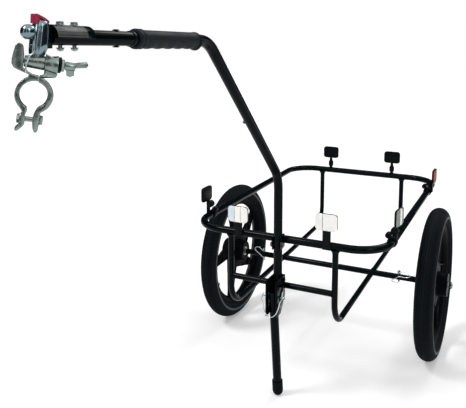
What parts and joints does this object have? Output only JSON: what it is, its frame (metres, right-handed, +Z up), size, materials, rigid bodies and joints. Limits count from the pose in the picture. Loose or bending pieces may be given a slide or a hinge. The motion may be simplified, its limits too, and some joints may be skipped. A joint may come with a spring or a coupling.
{
  "type": "bicycle cargo trailer",
  "caption": "Bike cargo trailer: tubular cargo ring on hoops, plug-in spoked wheels, bent drawbar with grip, swivelling seat post coupling and folding stand.",
  "frame": {"origin": "on the ground under the middle of the trailer's outline, standing on its tyres and stand foot", "axes": "+X along the axle, -Y forward to the bicycle, +Z up"},
  "size_m": [0.6782, 1.5352, 0.8425],
  "materials": {
    "black_paint": "gloss black powder coat",
    "zinc_plated_steel": "bright zinc plating",
    "chromed_steel": "chrome plating",
    "red_plastic": "moulded red plastic",
    "grip_plastic": "moulded black grip",
    "wheel_plastic": "moulded black plastic",
    "tyre_rubber": "black tyre rubber",
    "foot_rubber": "soft black rubber",
    "housing_plastic": "moulded black plastic",
    "clear_lens": "clear prismatic lens",
    "red_lens": "red prismatic lens"
  },
  "bodies": {
    "frame": {"axle_tube": "black_paint", "back_left_housing": "housing_plastic", "back_left_lens": "red_lens", "back_right_housing": "housing_plastic", "back_right_lens": "red_lens", "coupler_body": "black_paint", "coupler_front_bolt": "zinc_plated_steel", "coupler_rear_bolt": "zinc_plated_steel", "drawbar": "black_paint", "drawbar_bracket": "black_paint", "drawbar_lower_bolt": "zinc_plated_steel", "drawbar_upper_bolt": "zinc_plated_steel", "front_left_housing": "housing_plastic", "front_left_lens": "clear_lens", "front_right_housing": "housing_plastic", "front_right_lens": "clear_lens", "grip": "grip_plastic", "grip_bolt": "zinc_plated_steel", "hitch_socket": "chromed_steel", "left_axle_pin": "chromed_steel", "left_front_housing": "housing_plastic", "left_front_lens": "clear_lens", "left_hoop": "black_paint", "left_stub_axle": "zinc_plated_steel", "lower_crossbar": "black_paint", "right_axle_pin": "chromed_steel", "right_front_housing": "housing_plastic", "right_front_lens": "clear_lens", "right_hoop": "black_paint", "right_rear_housing": "housing_plastic", "right_rear_lens": "red_lens", "right_stub_axle": "zinc_plated_steel", "ring_frame": "black_paint", "socket_cap": "red_plastic", "stand_bracket": "black_paint", "stand_lock_pin": "chromed_steel", "stand_pivot_bolt": "zinc_plated_steel"},
    "left_wheel": {"left_rim": "wheel_plastic", "left_tyre": "tyre_rubber", "left_inner_tube": "foot_rubber", "left_hub_bush": "zinc_plated_steel", "left_hub_cover": "black_paint"},
    "right_wheel": {"right_rim": "wheel_plastic", "right_tyre": "tyre_rubber", "right_inner_tube": "foot_rubber", "right_hub_bush": "zinc_plated_steel", "right_hub_cover": "black_paint"},
    "stand": {"stand_leg": "black_paint", "stand_foot": "foot_rubber"},
    "stand_bow": {"stand_lock_bow": "chromed_steel"},
    "left_pin_bow": {"left_axle_bow": "chromed_steel"},
    "right_pin_bow": {"right_axle_bow": "chromed_steel"},
    "plunger": {"lock_plunger": "chromed_steel"},
    "swivel": {"swivel_eye": "zinc_plated_steel"},
    "seat_clamp": {"clamp_left": "zinc_plated_steel", "clamp_right": "zinc_plated_steel", "clamp_bolt": "zinc_plated_steel", "hitch_bolt": "zinc_plated_steel"},
    "wing": {"wing_nut": "zinc_plated_steel"}
  },
  "joints": [
    {"name": "left_wheel_spin", "type": "hinge", "parent": "frame", "child": "left_wheel", "pos_m": [-0.2935, 0.39837, 0.19938], "axis": [1, 0, 0], "continuous": true},
    {"name": "right_wheel_spin", "type": "hinge", "parent": "frame", "child": "right_wheel", "pos_m": [0.2935, 0.39837, 0.19938], "axis": [1, 0, 0], "continuous": true},
    {"name": "stand_fold", "type": "hinge", "parent": "frame", "child": "stand", "pos_m": [0, -0.01202, 0.23347], "axis": [1, 0, 0], "range_deg": [0, 82]},
    {"name": "stand_bow_flip", "type": "hinge", "parent": "frame", "child": "stand_bow", "pos_m": [0, -0.01974, 0.25451], "axis": [1, 0, 0], "range_deg": [-120, 0]},
    {"name": "left_bow_flip", "type": "hinge", "parent": "frame", "child": "left_pin_bow", "pos_m": [-0.2, 0.39259, 0.21366], "axis": [1, 0, 0], "range_deg": [-100, 0]},
    {"name": "right_bow_flip", "type": "hinge", "parent": "frame", "child": "right_pin_bow", "pos_m": [0.2, 0.39259, 0.21366], "axis": [1, 0, 0], "range_deg": [-100, 0]},
    {"name": "plunger_pull", "type": "slide", "parent": "frame", "child": "plunger", "axis": [0, -0.9841, 0.1774], "range_m": [0, 0.006], "stiffness_N_per_m": 300, "springref_m": -0.003},
    {"name": "hitch_turn", "type": "hinge", "parent": "frame", "child": "swivel", "pos_m": [0, -0.74294, 0.78939], "axis": [0, 0.1774, 0.9841], "range_deg": [-119, 30]},
    {"name": "clamp_pitch", "type": "hinge", "parent": "swivel", "child": "seat_clamp", "pos_m": [0, -0.74294, 0.78939], "axis": [0.712, 0.691, -0.1245], "range_deg": [-95, 30]},
    {"name": "wing_turn", "type": "hinge", "parent": "seat_clamp", "child": "wing", "pos_m": [0, -0.74294, 0.78939], "axis": [0.712, 0.691, -0.1245], "continuous": true}
  ]
}
